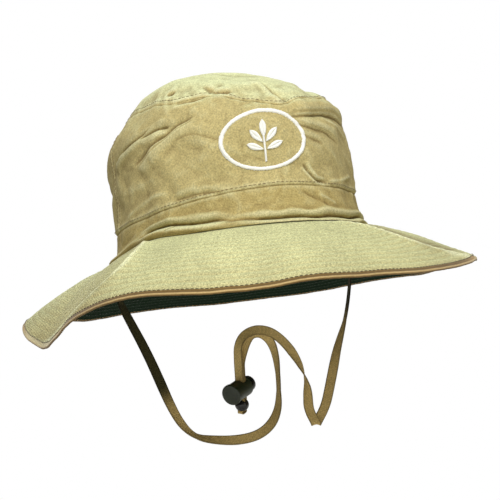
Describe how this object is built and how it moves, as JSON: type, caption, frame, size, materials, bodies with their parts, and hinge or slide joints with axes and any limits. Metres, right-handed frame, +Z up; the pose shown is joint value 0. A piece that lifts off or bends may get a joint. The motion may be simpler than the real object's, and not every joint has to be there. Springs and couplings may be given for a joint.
{
  "type": "boonie hat",
  "caption": "Soft wide-brimmed boonie hat with a banded crown, a row-stitched bound brim, a sweatband and a tape chin cord with a spring cord lock.",
  "frame": {"origin": "centre of the head opening, in the plane where the crown is sewn to the brim", "axes": "+Z up through the crown, -Y is the hat's front, +X is the right side seen from the front"},
  "size_m": [0.3221, 0.3619, 0.2577],
  "materials": {
    "crown_cloth": "plain-weave microfibre, matte",
    "brim_cloth": "plain-weave microfibre, matte, row-stitched",
    "underside_cloth": "dark green plain weave, matte",
    "lining_cloth": "thin polyester lining, matte",
    "sweatband_cloth": "folded cotton twill, matte",
    "stiffener": "non-woven interlining, matte",
    "binding_tape": "folded woven binding, matte",
    "embroidery_thread": "satin-stitched thread, soft sheen",
    "strap_tape": "narrow woven tape, matte",
    "lock_plastic": "moulded acetal, satin",
    "button_plastic": "moulded acetal, semi-gloss",
    "spring_steel": "drawn wire"
  },
  "bodies": {
    "hat": {"tip_panel": "crown_cloth", "crown_front_panel": "crown_cloth", "crown_back_panel": "crown_cloth", "band_front": "crown_cloth", "band_back": "crown_cloth", "tip_lining": "lining_cloth", "crown_lining": "lining_cloth", "sweatband": "sweatband_cloth", "side_seam_tape_left": "binding_tape", "side_seam_tape_right": "binding_tape", "strap_anchor_left": "strap_tape", "strap_anchor_right": "strap_tape", "embroidered_badge": "embroidery_thread", "brim_top_front": "brim_cloth", "brim_top_back": "brim_cloth", "brim_stiffener_front": "stiffener", "brim_stiffener_back": "stiffener", "brim_underside_front": "underside_cloth", "brim_underside_back": "underside_cloth", "brim_edge_binding": "binding_tape", "chin_tape_left": "strap_tape", "chin_tape_right": "strap_tape", "cord_bead": "button_plastic"},
    "cord_lock": {"cord_lock_barrel": "lock_plastic", "cord_lock_spring": "spring_steel"},
    "plunger": {"cord_lock_plunger": "button_plastic"}
  },
  "joints": [
    {"name": "lock_slide", "type": "slide", "parent": "hat", "child": "cord_lock", "axis": [-0.056, -0.4366, 0.8979], "range_m": [0, 0.012]},
    {"name": "plunger_press", "type": "slide", "parent": "cord_lock", "child": "plunger", "axis": [-0.7464, -0.579, -0.328], "range_m": [0, 0.0025], "stiffness_N_per_m": 400, "springref_m": -0.003, "deforming": ["cord_lock_spring"]}
  ]
}
